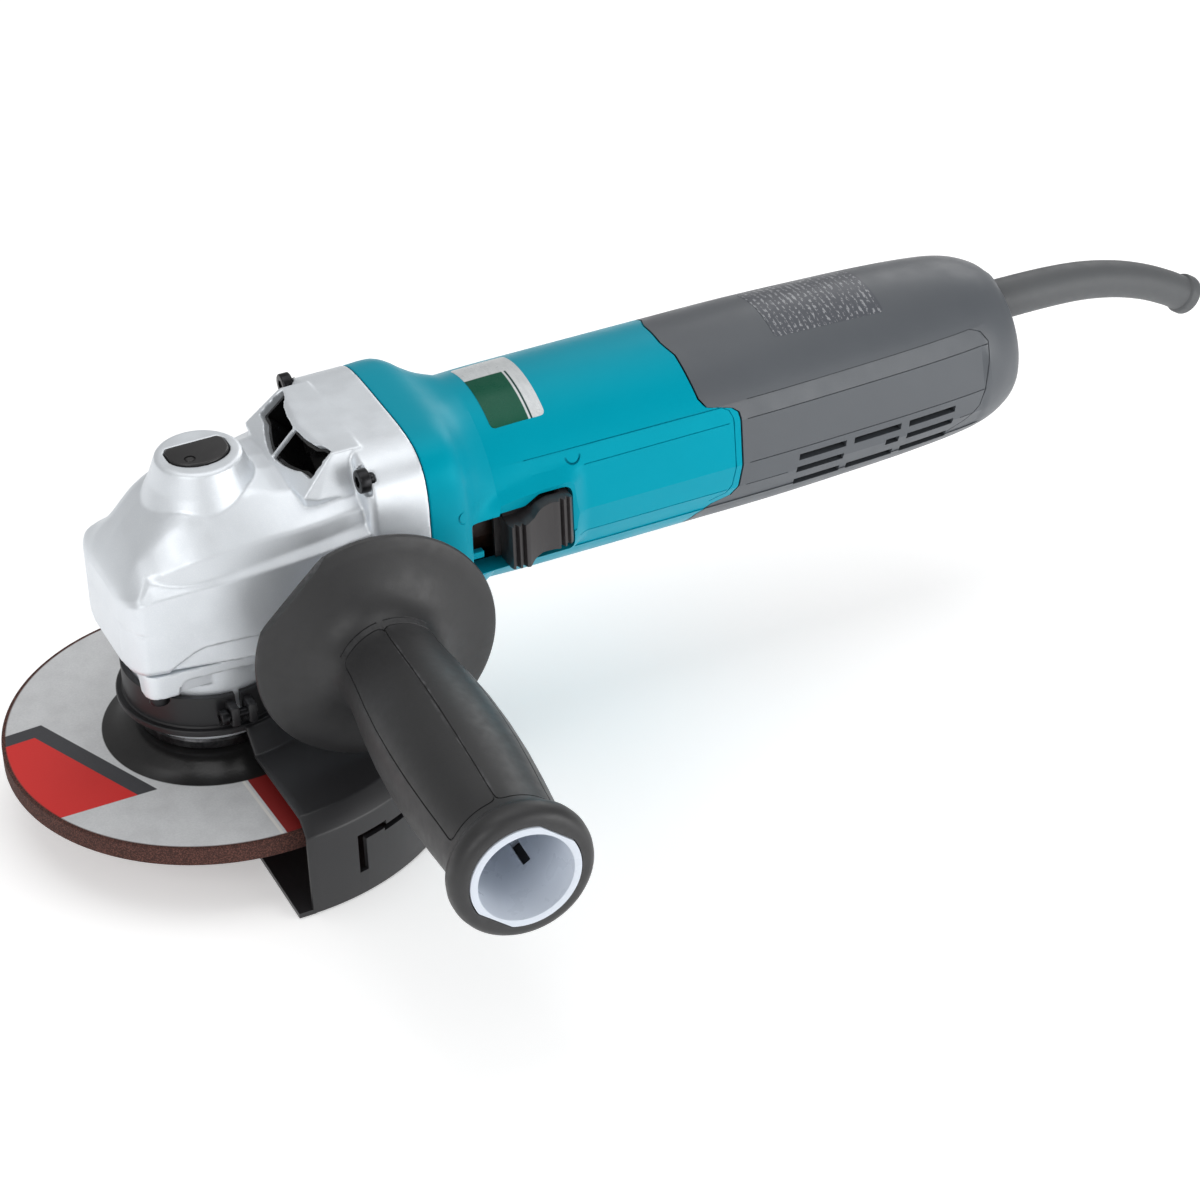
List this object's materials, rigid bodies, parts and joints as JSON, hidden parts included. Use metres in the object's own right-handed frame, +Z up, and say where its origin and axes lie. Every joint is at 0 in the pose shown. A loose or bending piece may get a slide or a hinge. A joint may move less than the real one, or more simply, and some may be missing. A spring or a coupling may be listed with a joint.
{
  "type": "angle grinder",
  "caption": "Corded angle grinder with a side grip, a steel half guard and a depressed-centre grinding wheel driven through bevel gears.",
  "frame": {"origin": "centre of the spindle's nose face, on the spindle axis", "axes": "+Z up the spindle axis away from the wheel, +X along the motor towards the cord guard, -Y towards the side grip"},
  "size_m": [0.3986, 0.2374, 0.1163],
  "materials": {
    "housing_alloy": "satin die cast",
    "teal_plastic": "fine textured moulding",
    "grey_plastic": "fine textured moulding",
    "black_plastic": "moulded",
    "white_plastic": "moulded",
    "soft_rubber": "matt",
    "bright_steel": "ground",
    "black_steel": "black oxide",
    "guard_steel": "semi-gloss black",
    "abrasive": "rough, with a printed top label",
    "copper_winding": "lacquered",
    "brass_part": "drawn",
    "lamination": "stacked sheet",
    "carbon": "pressed",
    "zinc_part": "zinc plated"
  },
  "bodies": {
    "housing": {"gear_housing": "housing_alloy", "bearing_cover": "housing_alloy", "bearing_retainer": "zinc_part", "exhaust_liner": "black_plastic", "spindle_bush": "bright_steel", "spindle_bearing": "bright_steel", "cover_screw_1": "black_steel", "cover_screw_2": "black_steel", "cover_screw_3": "black_steel", "cover_screw_4": "black_steel", "housing_screw_1": "black_steel", "housing_screw_2": "black_steel", "housing_screw_3": "black_steel", "housing_screw_4": "black_steel", "motor_housing": "teal_plastic", "rear_housing": "grey_plastic", "stator_core": "lamination", "field_coil_front": "copper_winding", "field_coil_rear": "copper_winding", "fan_shroud": "black_plastic", "brush_holder_top": "brass_part", "brush_holder_bottom": "brass_part", "carbon_brush_top": "carbon", "carbon_brush_bottom": "carbon", "bearing_bridge": "black_plastic", "front_bearing": "bright_steel", "rear_bearing": "bright_steel", "switch_unit": "black_plastic", "speed_controller": "black_plastic", "cord_guard": "soft_rubber", "cord_clamp": "black_plastic", "grip_rubber": "soft_rubber", "grip_core": "white_plastic", "grip_stud": "zinc_part"},
    "spindle_set": {"spindle": "bright_steel", "ring_gear": "bright_steel", "inner_flange": "black_steel", "lock_nut": "black_steel", "grinding_wheel": "abrasive"},
    "armature": {"armature_shaft": "bright_steel", "pinion": "bright_steel", "armature_core": "lamination", "commutator": "copper_winding", "armature_winding_front": "copper_winding", "armature_winding_rear": "copper_winding", "fan": "black_plastic"},
    "guard": {"wheel_guard": "guard_steel", "guard_clamp_screw": "black_steel"},
    "lock": {"lock_button": "black_plastic", "lock_pin": "bright_steel"},
    "switch": {"switch_knob": "black_plastic", "switch_rod": "black_plastic"}
  },
  "joints": [
    {"name": "spindle_spin", "type": "hinge", "parent": "housing", "child": "spindle_set", "pos_m": [0, 0, 0.03], "axis": [0, 0, 1], "continuous": true},
    {"name": "armature_spin", "type": "hinge", "parent": "housing", "child": "armature", "pos_m": [0.1, 0, 0.069], "axis": [1, 0, 0], "continuous": true},
    {"name": "guard_turn", "type": "hinge", "parent": "housing", "child": "guard", "pos_m": [0, 0, 0.028], "axis": [0, 0, 1], "range_deg": [-90, 90]},
    {"name": "lock_press", "type": "slide", "parent": "housing", "child": "lock", "axis": [0, 0, 1], "range_m": [-0.0045, 0], "stiffness_N_per_m": 900, "springref_m": 0.002},
    {"name": "switch_slide", "type": "slide", "parent": "housing", "child": "switch", "axis": [1, 0, 0], "range_m": [-0.006, 0]}
  ],
  "couplings": [
    {"joint": "armature_spin", "follows": "spindle_spin", "ratio": 3}
  ]
}
